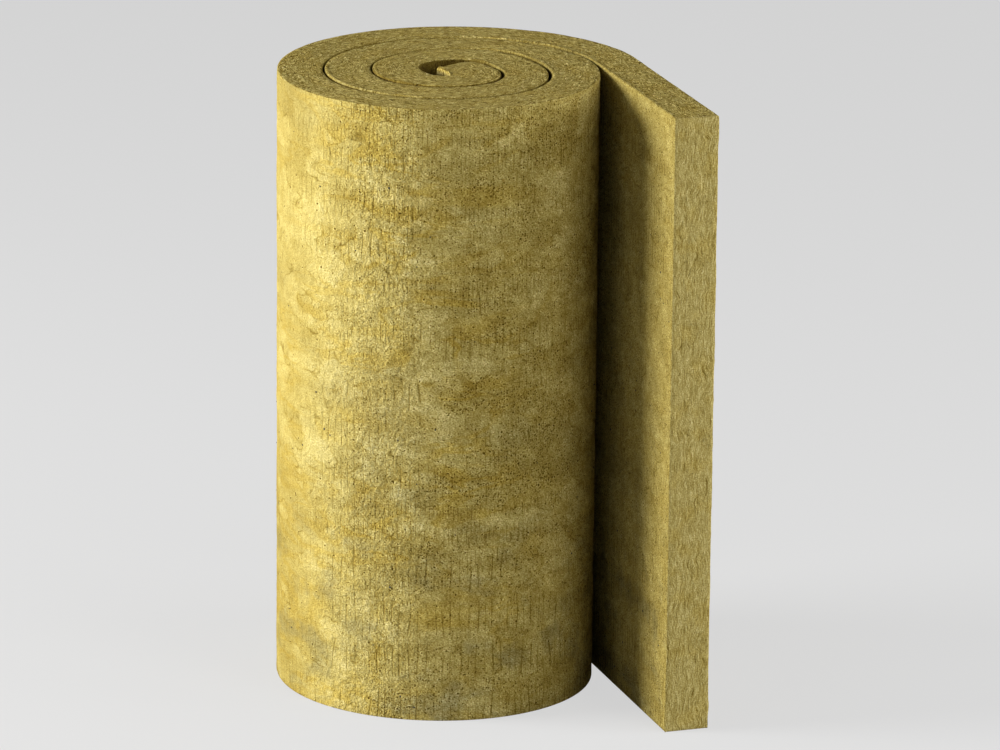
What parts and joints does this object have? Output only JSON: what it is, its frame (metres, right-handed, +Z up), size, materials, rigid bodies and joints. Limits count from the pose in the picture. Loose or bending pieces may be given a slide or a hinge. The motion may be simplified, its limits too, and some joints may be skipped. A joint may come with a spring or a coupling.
{
  "type": "mineral wool roll",
  "caption": "Thick mineral wool mat wound into an upright spiral roll with an open eye, its outer end unrolled as a straight tail.",
  "frame": {"origin": "the winding axis of the roll where it meets the floor, on the roll's lower end", "axes": "+Z up along the winding axis, across the mat's width; the unrolled tail runs along -Y and its thickness is along X"},
  "size_m": [0.5792, 0.684, 1],
  "materials": {
    "mineral_wool": "matte, fibrous, straw to olive mineral wool"
  },
  "bodies": {
    "root": {"wool_mat": "mineral_wool"}
  },
  "joints": []
}
